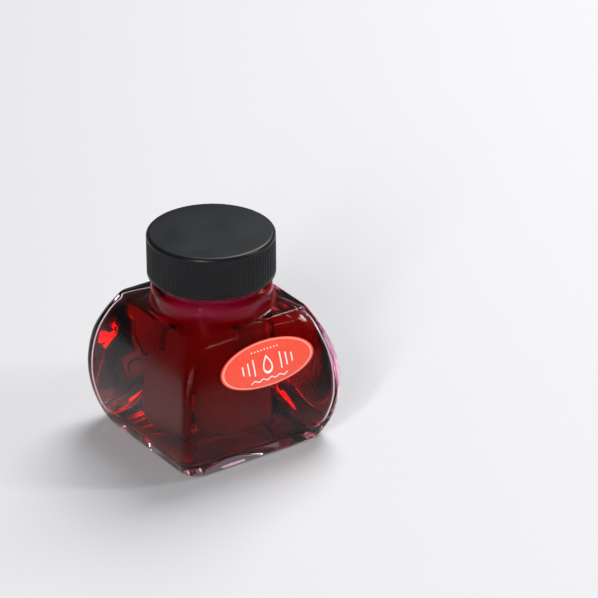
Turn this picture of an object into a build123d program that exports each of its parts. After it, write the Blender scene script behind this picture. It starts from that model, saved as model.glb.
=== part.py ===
from build123d import *
import os

# Ink bottle with a screw cap and an ink reservoir insert, in millimetres.
# +Z is up, the origin is the middle of the face it stands on, and the label is on the -Y side.

# Glass body: four faces that bulge in height and are flat across, under a flat square shoulder.
body_height = 42.6
# Height of each section, half its width across the flats, and its corner radius.
body_sections = [
    (0.0, 23.6, 6.0),
    (6.4, 26.2, 4.4),
    (15.0, 27.5, 3.0),
    (23.4, 27.15, 2.4),
    (32.0, 25.4, 2.6),
    (body_height, 20.2, 3.3),
]
heel_radius = 1.2
crease_radius = 0.7

# Underside: a shallow dished push-up, so that the bottle stands on a square rim.
push_up_radius = 19.0
push_up_depth = 1.3

# Hollow of the glass, in sections like the body's. The wall is thinnest, 1.8 mm, at the bulge.
floor_height = 4.0
hollow_sections = [
    (floor_height, 23.0, 4.2),
    (12.0, 25.4, 3.0),
    (20.0, 25.65, 2.4),
    (28.0, 24.6, 2.4),
    (34.5, 22.6, 2.8),
    (38.5, 20.3, 3.8),
    (40.8, 17.6, 7.5),
    (43.5, 13.85, 13.6),
]
floor_edge_radius = 3.0
bore_radius = 13.75

# Round collar between the shoulder and the threaded neck.
collar_radius = 17.8
collar_height = 6.0
collar_top_radius = 1.5
collar_root_radius = 1.4
neck_radius = 15.95
neck_top = 60.8
lip_radius = 0.6

# Single-start screw thread of the neck, and the matching one inside the cap, which runs in its groove.
thread_pitch = 4.0
thread_depth = 1.15
thread_root_width = 1.7
thread_crest_width = 0.8
thread_overlap = 0.25
neck_thread_start = 54.3
neck_thread_turns = 1.2
cap_thread_start_turn = 0.15
cap_thread_turns = 1.0
cap_thread_drop_turns = 0.5

# Reservoir insert: a moulded cup that hangs in the neck by its flange, with upright slots in its side.
flange_radius = 15.5
flange_thickness = 0.8
plug_radius = 13.7
plug_length = 9.0
cup_radius = 12.6
cup_wall = 1.0
cup_bottom = 6.0
cup_corner_radius = 3.0
slot_count = 4
slot_width = 3.0
slot_bottom = 28.0
slot_top = 38.0
slot_cut_depth = 3.0

# Surface of the ink, in the neck just below the plug of the insert.
ink_level = 50.5

# Screw cap: smooth top and bottom bands, with fine upright ribs between them.
cap_radius = 18.8
cap_bottom = 51.5
cap_top = 64.5
cap_top_radius = 1.1
cap_bottom_radius = 0.3
cap_bore_radius = 17.35
cap_ceiling = 63.0
cap_band_height = 1.0
cap_rib_top = 63.0
rib_count = 120
rib_groove_radius = 0.3

# Foam sealing disc between the cap's ceiling and the flange of the insert.
seal_gap = 0.1
liner_radius = 16.8

# Oval film label on the front face.
label_centre_x = 2.0
label_centre_z = 31.5
label_half_width = 16.0
label_half_height = 6.4
label_thickness = 0.15
label_cut_depth = 40.0


def rounded_square_loft(sections, grow=0.0):
    """Solid through rounded squares stacked in height, each half width grown by the given amount."""
    outlines = []
    for height, half_width, corner_radius in sections:
        with BuildSketch(Plane.XY.offset(height)) as outline:
            side = 2 * (half_width + grow)
            RectangleRounded(side, side, corner_radius + grow)
        outlines.append(outline.sketch)
    loft(sections=outlines)


def screw_thread(root_radius, start_height, start_turn, turns, outward):
    """Helical ridge that stands outward or inward from a wall of the given radius."""
    direction = 1 if outward else -1
    with BuildLine(Plane.XY.offset(start_height)) as path:
        Helix(thread_pitch, thread_pitch * turns, root_radius)
    start_angle = 360 * start_turn
    spine = path.wire().rotate(Axis.Z, start_angle)
    start = spine @ 0
    radial = Vector(start.X, start.Y, 0).normalized()
    with BuildSketch(Plane(origin=start, x_dir=radial * direction, z_dir=spine % 0)) as profile:
        with BuildLine():
            Polyline(
                (-thread_overlap, -thread_root_width / 2),
                (thread_depth, -thread_crest_width / 2),
                (thread_depth, thread_crest_width / 2),
                (-thread_overlap, thread_root_width / 2),
                close=True,
            )
        make_face()
    sweep(sections=profile.sketch, path=spine, is_frenet=True)


os.makedirs("parts", exist_ok=True)

# The whole outside of the glass body, before it gets its neck and hollow.
with BuildPart() as body_blank:
    rounded_square_loft(body_sections)
    fillet(body_blank.faces().sort_by(Axis.Z)[0].edges(), heel_radius)
    fillet(body_blank.faces().sort_by(Axis.Z)[-1].edges(), crease_radius)

# The space inside the glass, up to the top of the neck.
with BuildPart() as hollow:
    rounded_square_loft(hollow_sections)
    fillet(hollow.faces().sort_by(Axis.Z)[0].edges(), floor_edge_radius)
    with BuildSketch(Plane.XY.offset(body_height - collar_root_radius)):
        Circle(bore_radius)
    extrude(amount=neck_top - body_height + collar_root_radius)

# Glass bottle: body, collar and threaded neck in one piece, with a dished underside.
with BuildPart() as glass_bottle:
    add(body_blank.part)
    with BuildSketch(Plane.XZ):
        with BuildLine():
            shoulder_end = (collar_radius + collar_root_radius, body_height)
            collar_foot = (collar_radius, body_height + collar_root_radius)
            collar_edge = (collar_radius, body_height + collar_height - collar_top_radius)
            collar_top = (collar_radius - collar_top_radius, body_height + collar_height)
            neck_edge = (neck_radius, neck_top - lip_radius)
            lip_edge = (neck_radius - lip_radius, neck_top)
            RadiusArc(shoulder_end, collar_foot, collar_root_radius)
            Line(collar_foot, collar_edge)
            RadiusArc(collar_edge, collar_top, -collar_top_radius)
            Polyline(collar_top, (neck_radius, body_height + collar_height), neck_edge)
            RadiusArc(neck_edge, lip_edge, -lip_radius)
            Polyline(lip_edge, (0, neck_top), (0, body_height - heel_radius),
                     (shoulder_end[0], body_height - heel_radius), shoulder_end)
        make_face()
    revolve(axis=Axis.Z)
    screw_thread(neck_radius, neck_thread_start, 0, neck_thread_turns, outward=True)
    add(hollow.part, mode=Mode.SUBTRACT)
    with BuildSketch(Plane.XZ):
        with BuildLine():
            ThreePointArc((-push_up_radius, 0), (0, push_up_depth), (push_up_radius, 0))
            Line((push_up_radius, 0), (-push_up_radius, 0))
        make_face()
        split(bisect_by=Plane.YZ)
    revolve(axis=Axis.Z, mode=Mode.SUBTRACT)
glass_bottle.part.label = "glass_bottle"
export_step(glass_bottle.part, "parts/glass_bottle.step")

# Reservoir insert: flange, friction plug and cup in one moulding, with its slots cut through.
with BuildPart() as reservoir:
    flange_top = neck_top + flange_thickness
    shelf_height = neck_top - plug_length
    cup_floor = cup_bottom + cup_wall
    with BuildSketch(Plane.XZ):
        with BuildLine():
            Polyline(
                (0, cup_bottom),
                (cup_radius, cup_bottom),
                (cup_radius, shelf_height),
                (plug_radius, shelf_height + cup_wall),
                (plug_radius, neck_top),
                (flange_radius, neck_top),
                (flange_radius, flange_top),
                (0, flange_top),
                close=True,
            )
        make_face()
    revolve(axis=Axis.Z)
    fillet(reservoir.faces().sort_by(Axis.Z)[0].edges(), cup_corner_radius)
    with BuildSketch(Plane.XZ):
        with BuildLine():
            Polyline(
                (0, cup_floor),
                (cup_radius - cup_wall, cup_floor),
                (cup_radius - cup_wall, shelf_height),
                (plug_radius - cup_wall, shelf_height + cup_wall),
                (plug_radius - cup_wall, flange_top),
                (0, flange_top),
                close=True,
            )
        make_face()
    revolve(axis=Axis.Z, mode=Mode.SUBTRACT)
    floor_edge = reservoir.faces().filter_by(Plane.XY).sort_by(Axis.Z)[1].edges()
    fillet(floor_edge, cup_corner_radius - cup_wall)
    with BuildSketch(Plane.XY.offset(slot_bottom)):
        with PolarLocations(cup_radius, slot_count):
            Rectangle(slot_cut_depth, slot_width)
    extrude(amount=slot_top - slot_bottom, mode=Mode.SUBTRACT)
reservoir.part.label = "reservoir"
export_step(reservoir.part, "parts/reservoir.step")

# Ink: everything in the hollow below the level that the insert doesn't take.
with BuildPart() as ink:
    add(hollow.part)
    split(bisect_by=Plane.XY.offset(ink_level), keep=Keep.BOTTOM)
    add(reservoir.part, mode=Mode.SUBTRACT)
ink.part.label = "ink"
export_step(ink.part, "parts/ink.step")

# Cap: turned outline with a notched circle for the ribs, hollowed from below, with its own thread.
with BuildPart() as cap:
    with BuildSketch(Plane.XY.offset(cap_bottom)):
        Circle(cap_radius)
    extrude(amount=cap_top - cap_bottom)
    fillet(cap.edges().sort_by(Axis.Z)[-1], cap_top_radius)
    fillet(cap.edges().sort_by(Axis.Z)[0], cap_bottom_radius)
    with BuildSketch(Plane.XY.offset(cap_bottom + cap_band_height)):
        with PolarLocations(cap_radius, rib_count):
            Circle(rib_groove_radius)
    extrude(amount=cap_rib_top - cap_bottom - cap_band_height, mode=Mode.SUBTRACT)
    with BuildSketch(Plane.XY.offset(cap_bottom)):
        Circle(cap_bore_radius)
    extrude(amount=cap_ceiling - cap_bottom, mode=Mode.SUBTRACT)
    screw_thread(
        cap_bore_radius,
        neck_thread_start + thread_pitch * (cap_thread_start_turn - cap_thread_drop_turns),
        cap_thread_start_turn,
        cap_thread_turns,
        outward=False,
    )
cap.part.label = "cap"
export_step(cap.part, "parts/cap.step")

# Sealing disc, which lies on the flange and turns freely under the cap's ceiling.
with BuildPart() as cap_liner:
    with BuildSketch(Plane.XY.offset(neck_top + flange_thickness + seal_gap)):
        Circle(liner_radius)
    extrude(amount=cap_ceiling - neck_top - flange_thickness - 2 * seal_gap)
cap_liner.part.label = "cap_liner"
export_step(cap_liner.part, "parts/cap_liner.step")

# Label: an oval sheet that follows the curve of the front face.
with BuildPart() as label:
    rounded_square_loft(body_sections, label_thickness)
    with BuildSketch(Plane.XZ):
        with Locations((label_centre_x, label_centre_z)):
            Ellipse(label_half_width, label_half_height)
    extrude(amount=label_cut_depth, mode=Mode.INTERSECT)
    add(body_blank.part, mode=Mode.SUBTRACT)
label.part.label = "label"
export_step(label.part, "parts/label.step")
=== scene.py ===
import math

import bmesh
import bpy
from mathutils import Matrix, Vector


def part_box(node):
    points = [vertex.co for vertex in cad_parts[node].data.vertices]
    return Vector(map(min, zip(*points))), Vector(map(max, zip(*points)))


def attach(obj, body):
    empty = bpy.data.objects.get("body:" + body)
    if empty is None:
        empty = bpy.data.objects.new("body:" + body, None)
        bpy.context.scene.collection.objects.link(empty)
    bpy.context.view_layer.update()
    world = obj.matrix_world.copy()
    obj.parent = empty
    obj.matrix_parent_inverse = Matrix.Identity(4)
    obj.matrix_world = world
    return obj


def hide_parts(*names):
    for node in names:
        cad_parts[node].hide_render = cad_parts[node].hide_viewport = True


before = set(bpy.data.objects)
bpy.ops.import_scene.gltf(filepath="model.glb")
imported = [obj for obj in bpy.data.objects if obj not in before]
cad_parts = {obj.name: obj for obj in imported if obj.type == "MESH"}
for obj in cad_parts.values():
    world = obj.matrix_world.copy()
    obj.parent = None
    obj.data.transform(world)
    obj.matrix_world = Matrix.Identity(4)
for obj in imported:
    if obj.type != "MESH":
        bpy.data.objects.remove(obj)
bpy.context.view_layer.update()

# ---------------------------------------------------------------------------- glass bottle
# One pressing of clear glass: four faces that bulge in height only, a flat square shoulder,
# a round collar, a neck with a short screw thread, and a dished underside that leaves a square rim.

millimetre = 0.001
glass_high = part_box("glass_bottle")[1]
shoulder_height = 42.6 * millimetre
# Height of a section through the body, half its width across the flats, and its corner radius.
body_sections = [
    (0.0, 0.0236, 0.0060),
    (0.0064, 0.0262, 0.0044),
    (0.0150, 0.02748, 0.0030),
    (0.0234, 0.02715, 0.0024),
    (0.0320, 0.0254, 0.0026),
    (shoulder_height, 0.0202, 0.0033),
]
floor_height = 4.0 * millimetre
bore_radius = 13.75 * millimetre
hollow_sections = [
    (floor_height, 0.0230, 0.0042),
    (0.0120, 0.0254, 0.0030),
    (0.0200, 0.02565, 0.0024),
    (0.0280, 0.0246, 0.0024),
    (0.0345, 0.0226, 0.0028),
    (0.0385, 0.0203, 0.0038),
    (0.0408, 0.0176, 0.0075),
    (0.0435, 0.01385, 0.0136),
]
heel_radius = 1.2 * millimetre
crease_radius = 0.7 * millimetre
floor_edge_radius = 3.0 * millimetre
push_up_radius = 19.0 * millimetre
push_up_depth = 1.3 * millimetre
collar_radius = 17.8 * millimetre
collar_height = 6.0 * millimetre
collar_root_radius = 1.4 * millimetre
collar_top_radius = 1.5 * millimetre
neck_radius = 15.95 * millimetre
lip_radius = 0.6 * millimetre
thread_pitch = 4.0 * millimetre
thread_depth = 1.15 * millimetre
thread_root_width = 1.7 * millimetre
thread_crest_width = 0.8 * millimetre
thread_fade = 0.07
neck_thread_start = 54.3 * millimetre
neck_thread_turns = 1.2
bottle_segments = 160
corner_share = 0.34
# The hollow's corners start to take a larger share of the turn here, and all of it at the bore.
corner_spread_start = 24.0 * millimetre
floor_corner_part = 0.8
smallest_hollow_corner = 2.0 * millimetre
ledge_radius = 0.35 * millimetre
bore_foot = hollow_sections[-1][0] + 0.4 * millimetre


def smooth_between(sections, height):
    """Half width and corner radius at a height, on a smooth curve through the sections."""
    last = len(sections) - 2
    index = max(i for i in range(last + 1) if i == 0 or sections[i][0] <= height)
    before, low, high, after = (sections[min(max(index + i, 0), last + 1)] for i in (-1, 0, 1, 2))
    span = high[0] - low[0]
    t = (height - low[0]) / span
    values = []
    for k in (1, 2):
        slope_low = (high[k] - before[k]) / (high[0] - before[0]) * span
        slope_high = (after[k] - low[k]) / (after[0] - low[0]) * span
        if before is low:
            slope_low = 2 * (high[k] - low[k]) - slope_high
        if after is high:
            slope_high = 2 * (high[k] - low[k]) - slope_low
        values.append(
            (2 * t**3 - 3 * t**2 + 1) * low[k]
            + (t**3 - 2 * t**2 + t) * slope_low
            + (3 * t**2 - 2 * t**3) * high[k]
            + (t**3 - t**2) * slope_high
        )
    return values


def rounded_square(turn, half_width, corner_radius, share):
    """Point on a rounded square at a part of a turn round it; its corners take that share of the turn."""
    quarter, part = divmod(4 * turn, 1)
    side = (1 - share) / 2
    straight = half_width - corner_radius
    if part < side:
        point = Vector((half_width, straight * part / side))
    elif part > 1 - side:
        point = Vector((straight * (1 - part) / side, half_width))
    else:
        angle = math.pi / 2 * (part - side) / share
        point = Vector((straight + corner_radius * math.cos(angle),
                        straight + corner_radius * math.sin(angle)))
    return Matrix.Rotation(math.pi / 2 * quarter, 2) @ point


def square_ring(height, half_width, corner_radius, share=corner_share):
    """One level of a moulding, as a function from the turn to a point."""
    return lambda turn: (*rounded_square(turn, half_width, corner_radius, share), height)


def round_ring(height, radius, relief=None):
    """One round level of a moulding; relief adds to its radius at a turn and height."""
    def point(turn):
        reach = radius + (relief(turn, height) if relief else 0)
        angle = 2 * math.pi * turn
        return reach * math.cos(angle), reach * math.sin(angle), height
    return point


def moulding(name, rings, segments):
    """Closed mesh drawn out from ring to ring and ended in a pole at each end."""
    mesh = bmesh.new()
    loop = bmesh.ops.create_circle(mesh, cap_ends=False, radius=1, segments=segments)["verts"]
    first_loop = loop
    for level, ring in enumerate(rings):
        if level:
            edges = [mesh.edges.get((vert, after)) for vert, after in zip(loop, loop[1:] + loop[:1])]
            drawn = set(bmesh.ops.extrude_edge_only(mesh, edges=edges)["geom"])
            partners = [[edge.other_vert(vert) for edge in vert.link_edges] for vert in loop]
            loop = [next(other for other in others if other in drawn) for others in partners]
        for i, vert in enumerate(loop):
            vert.co = ring(i / segments)
    for end in (first_loop, loop):
        middle = sum((vert.co for vert in end), Vector()) / segments
        bmesh.ops.pointmerge(mesh, verts=end, merge_co=middle)
    bmesh.ops.recalc_face_normals(mesh, faces=mesh.faces)
    return finished(name, mesh)


def finished(name, mesh, smooth=True):
    """Scene object of a bmesh, with its place in its mesh."""
    data = bpy.data.meshes.new(name)
    mesh.to_mesh(data)
    mesh.free()
    for face in data.polygons:
        face.use_smooth = smooth
    piece = bpy.data.objects.new(name, data)
    bpy.context.scene.collection.objects.link(piece)
    return piece


def steps(start, end, count):
    """Evenly spaced values from start to end, both included."""
    return [start + (end - start) * i / count for i in range(count + 1)]


def arc(radius, height, bend, start, end, count=8):
    """Radius and height pairs along an arc of the given bend round a centre, between angles in degrees."""
    angles = [math.radians(angle) for angle in steps(start, end, count)]
    return [(radius + bend * math.cos(angle), height + bend * math.sin(angle)) for angle in angles]


def step_up(value, low, high):
    """Rises smoothly from 0 at low to 1 at high."""
    t = min(max((value - low) / (high - low), 0), 1)
    return t * t * (3 - 2 * t)


def thread(start, first_turn, turns, outward):
    """Relief of a single-start thread, which fades in and out at its ends."""
    def relief(turn, height):
        tallest = 0
        for lap in range(3):
            along = turn + lap - first_turn
            centre = start + thread_pitch * along
            near = step_up(-abs(height - centre), -thread_root_width / 2, -thread_crest_width / 2)
            ends = step_up(along, 0, thread_fade) * step_up(turns - along, 0, thread_fade)
            tallest = max(tallest, near * ends)
        return tallest * thread_depth * (1 if outward else -1)
    return relief


def hollow_rings(grow=0.0):
    """Rings of the inside of the glass from the middle of its floor up to the bore, moved outward by grow."""
    rings = []
    floor_half, floor_corner = smooth_between(hollow_sections, floor_height + floor_edge_radius)
    for spread in steps(0.02, 1, 10):
        half = (floor_half - floor_edge_radius) * spread
        rings.append(square_ring(floor_height - grow, half, floor_corner * spread * floor_corner_part))
    for angle in steps(9, 90, 9):
        lift = floor_edge_radius * (1 - math.cos(math.radians(angle)))
        half, corner = smooth_between(hollow_sections, floor_height + lift)
        inset = floor_edge_radius * (1 - math.sin(math.radians(angle)))
        half_now = min(half, floor_half) - inset + grow
        rings.append(square_ring(floor_height + lift - grow * math.cos(math.radians(angle)),
                                 half_now, max(corner - inset / 2, smallest_hollow_corner) + grow))
    top = hollow_sections[-1][0]
    for height in steps(floor_height + floor_edge_radius, top, 40)[1:]:
        half, corner = smooth_between(hollow_sections, height)
        share = corner_share + (1 - corner_share) * step_up(height, corner_spread_start, top)
        rings.append(square_ring(height, half + grow, min(corner + grow, half + grow), share))
    return rings


body_rings = []
for spread in steps(0.02, 1, 12):
    body_rings.append(round_ring(push_up_depth * (1 - spread**2), push_up_radius * spread))
for angle in steps(0, 90, 8):
    lift = heel_radius * (1 - math.cos(math.radians(angle)))
    inset = heel_radius * (1 - math.sin(math.radians(angle)))
    half, corner = smooth_between(body_sections, lift)
    body_rings.append(square_ring(lift, half - inset, corner - inset / 2))
for height in steps(heel_radius, shoulder_height - crease_radius, 48)[1:-1]:
    body_rings.append(square_ring(height, *smooth_between(body_sections, height)))
for angle in steps(0, 90, 8):
    drop = crease_radius * (1 - math.sin(math.radians(angle)))
    inset = crease_radius * (1 - math.cos(math.radians(angle)))
    half, corner = smooth_between(body_sections, shoulder_height - drop)
    body_rings.append(square_ring(shoulder_height - drop, half - inset, corner - inset / 2))

collar_foot = arc(collar_radius + collar_root_radius, shoulder_height + collar_root_radius,
                  collar_root_radius, 270, 180)
collar_top = shoulder_height + collar_height
collar_edge = arc(collar_radius - collar_top_radius, collar_top - collar_top_radius, collar_top_radius, 0, 90)
ledge_angle = arc(neck_radius + ledge_radius, collar_top + ledge_radius, ledge_radius, 270, 180, 4)
neck_rings = [round_ring(height, radius) for radius, height in collar_foot + collar_edge + ledge_angle]
neck_top = glass_high.z
neck_relief = thread(neck_thread_start, 0, neck_thread_turns, outward=True)
for height in steps(collar_top + 0.5 * millimetre, neck_top - lip_radius, 72):
    neck_rings.append(round_ring(height, neck_radius, neck_relief))
outer_lip = arc(neck_radius - lip_radius, neck_top - lip_radius, lip_radius, 0, 90)[1:]
inner_lip = arc(bore_radius + lip_radius / 2, neck_top - lip_radius / 2, lip_radius / 2, 90, 180, 5)
neck_rings += [round_ring(height, radius) for radius, height in outer_lip + inner_lip]
for height in steps(neck_top - lip_radius, bore_foot, 8):
    neck_rings.append(round_ring(height, bore_radius))

bottle = moulding("glass_bottle_moulding", body_rings + neck_rings + hollow_rings()[::-1], bottle_segments)


class Signal:
    """A node's output that takes part in sums, so that shader maths reads as maths."""

    def __init__(self, tree, socket):
        self.tree = tree
        self.socket = socket

    def node(self, kind, settings=None, inputs=None, output=0):
        """Output of a new node: its settings are set first, then its sockets by name or number."""
        made = self.tree.nodes.new(kind)
        for name, value in (settings or {}).items():
            if name == "stops":
                ramp = made.color_ramp
                while len(ramp.elements) < len(value):
                    ramp.elements.new(0.5)
                for element, (place, colour) in zip(ramp.elements, value):
                    element.position = place
                    element.color = colour
            else:
                setattr(made, name, value)
        for name, value in (inputs or {}).items():
            if isinstance(value, Signal):
                self.tree.links.new(value.socket, made.inputs[name])
            else:
                made.inputs[name].default_value = value
        return Signal(self.tree, made.outputs[output])

    def maths(self, operation, *values):
        return self.node("ShaderNodeMath", {"operation": operation}, dict(enumerate(values)))

    def __add__(self, other):
        return self.maths("ADD", self, other)

    def __radd__(self, other):
        return self.maths("ADD", other, self)

    def __sub__(self, other):
        return self.maths("SUBTRACT", self, other)

    def __rsub__(self, other):
        return self.maths("SUBTRACT", other, self)

    def __mul__(self, other):
        return self.maths("MULTIPLY", self, other)

    def __rmul__(self, other):
        return self.maths("MULTIPLY", other, self)

    def __truediv__(self, other):
        return self.maths("DIVIDE", self, other)

    def __pow__(self, other):
        return self.maths("POWER", self, other)

    def __abs__(self):
        return self.maths("ABSOLUTE", self)

    def rise(self, low, high):
        """0 below low, 1 above high, smooth between."""
        return self.node("ShaderNodeMapRange", {"interpolation_type": "SMOOTHSTEP"},
                         {"Value": self, "From Min": low, "From Max": high})

    def noise(self, scale, detail=3.0, roughness=0.5, stretch=(1, 1, 1)):
        """Noise on object coordinates, with features of about 1 / scale metres."""
        place = self.node("ShaderNodeMapping", None, {"Vector": self, "Scale": stretch})
        return self.node("ShaderNodeTexNoise", None,
                         {"Vector": place, "Scale": scale, "Detail": detail, "Roughness": roughness})

    def mix(self, first, second):
        """Colour that goes from first to second as this signal goes from 0 to 1."""
        return self.node("ShaderNodeMix", {"data_type": "RGBA"}, {0: self, 6: first, 7: second}, output=2)

    def bump(self, strength, depth):
        """Normal that follows this signal as a height of the given depth in metres."""
        return self.node("ShaderNodeBump", None, {"Height": self, "Strength": strength, "Distance": depth})


def material(name, **constants):
    """New material, its surface shader, and object coordinates to draw patterns on."""
    made = bpy.data.materials.new(name)
    made.use_nodes = True
    tree = made.node_tree
    surface = next(node for node in tree.nodes if node.type == "BSDF_PRINCIPLED")
    for socket, value in constants.items():
        surface.inputs[socket.replace("_", " ")].default_value = value
    coordinates = tree.nodes.new("ShaderNodeTexCoord")
    return made, surface, Signal(tree, coordinates.outputs["Object"])


def feed(surface, **signals):
    """Link signals to the surface shader's sockets."""
    for socket, signal in signals.items():
        signal.tree.links.new(signal.socket, surface.inputs[socket.replace("_", " ")])


def dress(piece, finish, body):
    """Give a piece its material and the body that carries it."""
    piece.data.materials.clear()
    piece.data.materials.append(finish)
    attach(piece, body)


clear_glass, surface, place = material(
    "clear_pressed_glass", Base_Color=(0.98, 0.985, 0.985, 1), Roughness=0.0, IOR=1.52,
    Transmission_Weight=1.0, Specular_Tint=(0.16, 0.155, 0.17, 1)
)
flow_marks = place.noise(55.0, detail=1.0, stretch=(1, 1, 0.45))
feed(surface, Normal=flow_marks.bump(0.12, 0.0006))
dress(bottle, clear_glass, "bottle")
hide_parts("glass_bottle")

# Where ink wets the glass, the inner face hardly reflects.
wetted_glass = material(
    "wetted_glass", Base_Color=(0.98, 0.985, 0.985, 1), Roughness=0.0, IOR=1.52,
    Transmission_Weight=1.0, Specular_Tint=(0.05, 0.05, 0.05, 1)
)[0]
bottle.data.materials.append(wetted_glass)
ink_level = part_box("ink")[1].z
widest_hollow = 25.9 * millimetre
floor_margin = 0.1 * millimetre
facing_up = 0.5
facing_down = -0.99
for face in bottle.data.polygons:
    inward = face.normal.xy.dot(face.center.xy) < 0 or face.normal.z > facing_up
    inside = max(abs(face.center.x), abs(face.center.y)) < widest_hollow
    wetted = floor_height - floor_margin < face.center.z < ink_level
    if inside and inward and wetted and face.normal.z > facing_down:
        face.material_index = 1

# ---------------------------------------------------------------------------- ink
# Red water-based dye ink. It wets the glass all over, so its skin lies just inside the glass wall,
# and its level creeps up a little where it meets the bore.

ink_overlap = 0.06 * millimetre
meniscus_height = 0.5 * millimetre
meniscus_width = 1.6 * millimetre
ink_rings = hollow_rings(ink_overlap)
ink_radius = bore_radius + ink_overlap
for height in steps(bore_foot, ink_level, 8):
    ink_rings.append(round_ring(height, ink_radius))
for inset in steps(0, 1, 6)[1:]:
    dip = meniscus_height * (1 - (1 - inset) ** 2)
    ink_rings.append(round_ring(ink_level - dip, ink_radius - meniscus_width * inset))
for spread in steps(0.8, 0.02, 4):
    ink_rings.append(round_ring(ink_level - meniscus_height, (ink_radius - meniscus_width) * spread))
ink = moulding("ink_fill", ink_rings, bottle_segments)

red_ink = material(
    "red_dye_ink", Base_Color=(1, 1, 1, 1), Roughness=0.0, IOR=1.34, Transmission_Weight=1.0,
    Specular_Tint=(0.15, 0.15, 0.15, 1)
)[0]
tree = red_ink.node_tree
depth_colour = tree.nodes.new("ShaderNodeVolumeAbsorption")
depth_colour.inputs["Color"].default_value = (0.980, 0.0, 0.52, 1)
depth_colour.inputs["Density"].default_value = 1340.0
output = next(node for node in tree.nodes if node.type == "OUTPUT_MATERIAL")
tree.links.new(depth_colour.outputs["Volume"], output.inputs["Volume"])
dress(ink, red_ink, "bottle")
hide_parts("ink")

# ---------------------------------------------------------------------------- reservoir insert
# Thin cup moulded in natural plastic, pushed into the neck until its flange lies on the lip.

natural_plastic, surface, place = material("natural_plastic", IOR=1.15, Transmission_Weight=0.6)
milk = place.noise(240.0, detail=4.0)
draw_marks = place.noise(900.0, detail=2.0, stretch=(1, 1, 0.08))
feed(surface,
     Base_Color=milk.rise(0.25, 0.75).mix((0.90, 0.90, 0.88, 1), (0.96, 0.96, 0.95, 1)),
     Roughness=0.26 + 0.14 * milk,
     Normal=draw_marks.bump(0.2, 0.00003))
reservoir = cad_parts["reservoir"]
reservoir.data.materials.clear()
reservoir.data.materials.append(natural_plastic)

# ---------------------------------------------------------------------------- label
# Oval of printed film, stuck on the front face and bent with it. A pale line runs round it, and its
# white print is a plain drop between upright strokes, with a row of dots above and a wave below.

label_low, label_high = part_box("label")
label_middle = (label_low + label_high) / 2
label_half_width = (label_high.x - label_low.x) / 2
label_half_height = (label_high.z - label_low.z) / 2
label_thickness = 0.12 * millimetre
label_gap = 0.01 * millimetre


def label_ring(spread, stand_off):
    """Oval at a part of the label's full size, the given distance off the glass face."""
    def point(turn):
        angle = 2 * math.pi * turn
        height = label_middle.z + label_half_height * spread * math.sin(angle)
        face = smooth_between(body_sections, height)[0]
        return label_middle.x + label_half_width * spread * math.cos(angle), -face - stand_off, height
    return point


face_spreads = steps(0.02, 0.99, 14)
front = [label_ring(spread, label_gap + label_thickness) for spread in face_spreads]
back = [label_ring(spread, label_gap) for spread in face_spreads]
rim = [label_ring(1, label_gap + label_thickness * 0.8), label_ring(1, label_gap)]
label = moulding("label_film", front + rim + back[::-1], 96)

# Sizes of the print, in millimetres from the middle of the label, except the border, in parts of the oval.
border_place = 0.945
border_width = 0.022
line_width = 0.34
line_softness = 0.10
drop_height = 5.4
drop_half_width = 1.75
drop_wall = 0.72
# Greatest value that the drop's outline, x times the root of 1 - x, takes between its tip and its foot.
drop_widest = 0.385
stroke_places = ((4.6, 2.3), (6.5, 1.75), (8.4, 1.2))
wave_place = 4.1
wave_swing = 0.28
wave_rate = 2.2
wave_line = 0.24
wave_reach = 6.2
dot_pitch = 1.1
dot_place = 4.1
dot_radius = 0.16
dot_row_reach = 4.6
row_end = 0.2

label_film, surface, place = material("label_film", IOR=1.48)
across = (place.node("ShaderNodeSeparateXYZ", None, {"Vector": place}, output=0) - label_middle.x) * 1000.0
upward = (place.node("ShaderNodeSeparateXYZ", None, {"Vector": place}, output=2) - label_middle.z) * 1000.0


def inked(distance, width=line_width):
    """1 within a printed line of the given width in millimetres, 0 beyond its soft edge."""
    return 1.0 - abs(distance).rise(width / 2, width / 2 + line_softness)


def drop(size):
    """1 inside a drop shape with its tip up, drawn at a part of its full size."""
    fall = (drop_height / 2 - upward / size) / drop_height
    inside = fall.maths("MAXIMUM", fall, 0.0) * (1.0 - fall).maths("MAXIMUM", 1.0 - fall, 0.0) ** 0.5
    return (inside * (drop_half_width / drop_widest) * size - abs(across)).rise(0.0, line_softness)


spread = ((across / (label_half_width * 1000)) ** 2 + (upward / (label_half_height * 1000)) ** 2) ** 0.5
border = 1.0 - abs(spread - border_place).rise(border_width / 2, border_width)
motif = drop(1.0) - drop(drop_wall)
for stroke_place, reach in stroke_places:
    motif = motif + inked(abs(across) - stroke_place) * (1.0 - abs(upward).rise(reach, reach + line_softness))
wave = upward + wave_place - wave_swing * across.maths("SINE", across * wave_rate)
motif = motif + inked(wave, wave_line) * (1.0 - abs(across).rise(wave_reach, wave_reach + row_end))
dot_gap = across.maths("PINGPONG", across, dot_pitch / 2)
dots = (dot_gap**2 + (upward - dot_place) ** 2) ** 0.5
dot = 1.0 - dots.rise(dot_radius, dot_radius + line_softness)
motif = motif + dot * (1.0 - abs(across).rise(dot_row_reach, dot_row_reach + row_end))
speckle = place.noise(600.0)
paper = speckle.rise(0.2, 0.8).mix((0.93, 0.085, 0.045, 1), (0.97, 0.105, 0.06, 1))
edged = border.mix(paper, (1.0, 0.42, 0.34, 1))
feed(surface,
     Base_Color=motif.rise(0.0, 1.0).mix(edged, (0.98, 0.90, 0.87, 1)),
     Roughness=0.28 + 0.1 * speckle,
     Normal=(speckle + 0.6 * motif).bump(0.15, 0.00002))
dress(label, label_film, "bottle")
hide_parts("label")

# ---------------------------------------------------------------------------- cap liner
# Disc stamped from white foamed sheet. Its edge is a little rounded, and the bottle's lip has pressed
# a shallow ring into its lower face.

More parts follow.
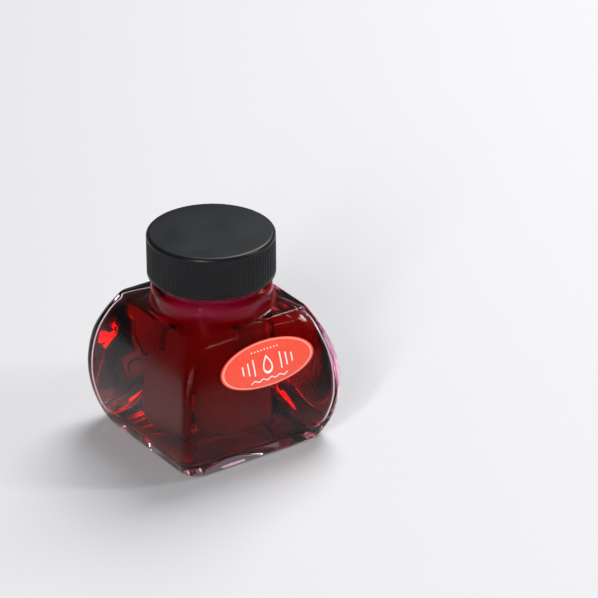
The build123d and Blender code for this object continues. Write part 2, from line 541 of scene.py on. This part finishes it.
liner_low, liner_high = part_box("cap_liner")
liner_radius = liner_high.x
liner_edge = 0.35 * millimetre
press_depth = 0.12 * millimetre
press_width = 1.4 * millimetre
press_middle = (bore_radius + neck_radius) / 2


def pressed(radius):
    """Height of the lower face, which rises where the lip has pressed it."""
    return liner_low.z + press_depth * step_up(press_width - abs(radius - press_middle), 0, press_width * 0.6)


liner_flat = liner_radius - liner_edge
liner_rings = [round_ring(liner_high.z, liner_flat * spread) for spread in steps(0.02, 0.98, 6)]
liner_rim = arc(liner_flat, liner_high.z - liner_edge, liner_edge, 90, 0, 5)
liner_rim += arc(liner_flat, liner_low.z + liner_edge, liner_edge, 0, -90, 5)
liner_rings += [round_ring(height, radius) for radius, height in liner_rim]
for spread in steps(0.98, 0.02, 40):
    radius = liner_flat * spread
    liner_rings.append(round_ring(pressed(radius), radius))
liner = moulding("cap_liner_foam", liner_rings, 96)

foam, surface, place = material("liner_foam")
cells = place.node("ShaderNodeTexVoronoi", {"feature": "F1"}, {"Vector": place, "Scale": 3200.0})
mottle = place.noise(400.0, detail=3.0)
feed(surface,
     Base_Color=mottle.rise(0.3, 0.7).mix((0.80, 0.80, 0.78, 1), (0.87, 0.87, 0.85, 1)),
     Roughness=0.72 + 0.15 * mottle,
     Normal=cells.bump(0.35, 0.00006))
dress(liner, foam, "liner")
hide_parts("cap_liner")

# ---------------------------------------------------------------------------- screw cap
# Black polypropylene moulding: a plain top with a rounded edge, and a skirt with 120 fine ribs
# that stop at a plain band above the mouth. Its inside has one turn of thread.

cap_low, cap_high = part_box("cap")
cap_radius = cap_high.x
cap_top_radius = 1.1 * millimetre
cap_mouth_radius = 0.3 * millimetre
cap_band = 1.0 * millimetre
cap_bore = 17.35 * millimetre
cap_ceiling = cap_high.z - 1.5 * millimetre
rib_count = 120
groove_depth = 0.3 * millimetre
verts_per_rib = 6
cap_thread_first_turn = 0.15
cap_thread_turns = 1.0
cap_thread_drop_turns = 0.5


def rib(turn, height):
    """Depth of the grooves between the ribs, which run out near the plain bands."""
    phase = 0.5 - 0.5 * math.cos(2 * math.pi * rib_count * turn)
    low = step_up(height, cap_low.z + cap_band, cap_low.z + cap_band + 0.35 * millimetre)
    high = step_up(cap_high.z - cap_top_radius - height, 0, 0.5 * millimetre)
    return -groove_depth * phase**1.5 * low * high


cap_flat = cap_radius - cap_top_radius
cap_rings = [round_ring(cap_high.z, cap_flat * spread) for spread in steps(0.02, 0.98, 12)]
cap_edge = arc(cap_flat, cap_high.z - cap_top_radius, cap_top_radius, 90, 0, 10)
cap_rings += [round_ring(height, radius) for radius, height in cap_edge]
for height in steps(cap_high.z - cap_top_radius, cap_low.z + cap_mouth_radius, 30)[1:-1]:
    cap_rings.append(round_ring(height, cap_radius, rib))
cap_mouth = arc(cap_radius - cap_mouth_radius, cap_low.z + cap_mouth_radius, cap_mouth_radius, 0, -90, 5)
cap_rings += [round_ring(height, radius) for radius, height in cap_mouth]
cap_thread_start = neck_thread_start + thread_pitch * (cap_thread_first_turn - cap_thread_drop_turns)
cap_relief = thread(cap_thread_start, cap_thread_first_turn, cap_thread_turns, outward=False)
for height in steps(cap_low.z, cap_ceiling, 50):
    cap_rings.append(round_ring(height, cap_bore, cap_relief))
for spread in steps(0.98, 0.02, 8):
    cap_rings.append(round_ring(cap_ceiling, cap_bore * spread))
cap = moulding("cap_moulding", cap_rings, rib_count * verts_per_rib)

black_plastic, surface, place = material("black_moulded_plastic", IOR=1.5, Specular_IOR_Level=0.2)
grain = place.noise(2600.0, detail=2.0)
cloud = place.noise(90.0, detail=3.0)
feed(surface,
     Base_Color=cloud.rise(0.3, 0.7).mix((0.004, 0.0045, 0.005, 1), (0.007, 0.008, 0.009, 1)),
     Roughness=0.26 + 0.12 * cloud,
     Normal=grain.bump(0.25, 0.00004))
dress(cap, black_plastic, "cap")
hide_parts("cap")

# ---------------------------------------------------------------------------- studio
# Pale table, large soft lamps, and a long lens that looks down at the bottle's front corner.

table_size = 3.0
mesh = bmesh.new()
bmesh.ops.create_grid(mesh, x_segments=1, y_segments=1, size=table_size)
table = finished("pale_table", mesh, smooth=False)
table_finish = material("pale_table", Base_Color=(0.62, 0.62, 0.63, 1), Roughness=0.6)[0]
table.data.materials.append(table_finish)

camera_azimuth = math.radians(-34.33)
camera_elevation = math.radians(27.18)
camera_roll = math.radians(-0.35)
camera_distance = 1.1308
aim = Vector((0.02369, -0.0102, 0.03962))
towards = Vector((-math.sin(camera_azimuth) * math.cos(camera_elevation),
                  math.cos(camera_azimuth) * math.cos(camera_elevation), -math.sin(camera_elevation)))
lens = bpy.data.cameras.new("camera")
lens.sensor_width = 36.0
lens.lens = 232.7
lens.clip_start = 0.05
camera = bpy.data.objects.new("camera", lens)
bpy.context.scene.collection.objects.link(camera)
camera.location = aim - towards * camera_distance
camera.rotation_mode = "QUATERNION"
roll = Matrix.Rotation(camera_roll, 3, "Z").to_quaternion()
camera.rotation_quaternion = towards.to_track_quat("-Z", "Y") @ roll
bpy.context.scene.camera = camera


lamp_target = Vector((0, 0, 0.03))


def soft_lamp(name, place, size, watts):
    """Soft white lamp, a rectangle of the given size that faces the middle of the bottle."""
    light = bpy.data.lights.new(name, "AREA")
    light.shape = "RECTANGLE"
    light.size, light.size_y = size
    light.energy = watts
    lamp = bpy.data.objects.new(name, light)
    bpy.context.scene.collection.objects.link(lamp)
    lamp.location = place
    lamp.rotation_mode = "QUATERNION"
    lamp.rotation_quaternion = (lamp_target - lamp.location).to_track_quat("-Z", "Y")


soft_lamp("key_lamp", Vector((0.60, 0.35, 0.95)), (0.7, 0.7), 14.0)
soft_lamp("corner_strip", Vector((-0.80, -0.57, 0.60)), (0.10, 0.50), 6.0)
soft_lamp("left_strip", Vector((-0.75, -0.75, 0.55)), (0.07, 0.6), 3.0)
soft_lamp("right_strip", Vector((0.8, -0.6, 0.6)), (0.08, 0.6), 4.0)

world = bpy.data.worlds.new("studio")
bpy.context.scene.world = world
world.use_nodes = True
world.node_tree.nodes["Background"].inputs["Color"].default_value = (0.9, 0.92, 1.0, 1)
world.node_tree.nodes["Background"].inputs["Strength"].default_value = 0.13
bpy.context.scene.view_settings.view_transform = "Standard"
# Light crosses many walls of glass and ink, and paths cut short would leave the clear rims dark.
glass_bounces = 32
bpy.context.scene.cycles.max_bounces = glass_bounces
bpy.context.scene.cycles.transmission_bounces = glass_bounces
bpy.context.scene.cycles.glossy_bounces = glass_bounces
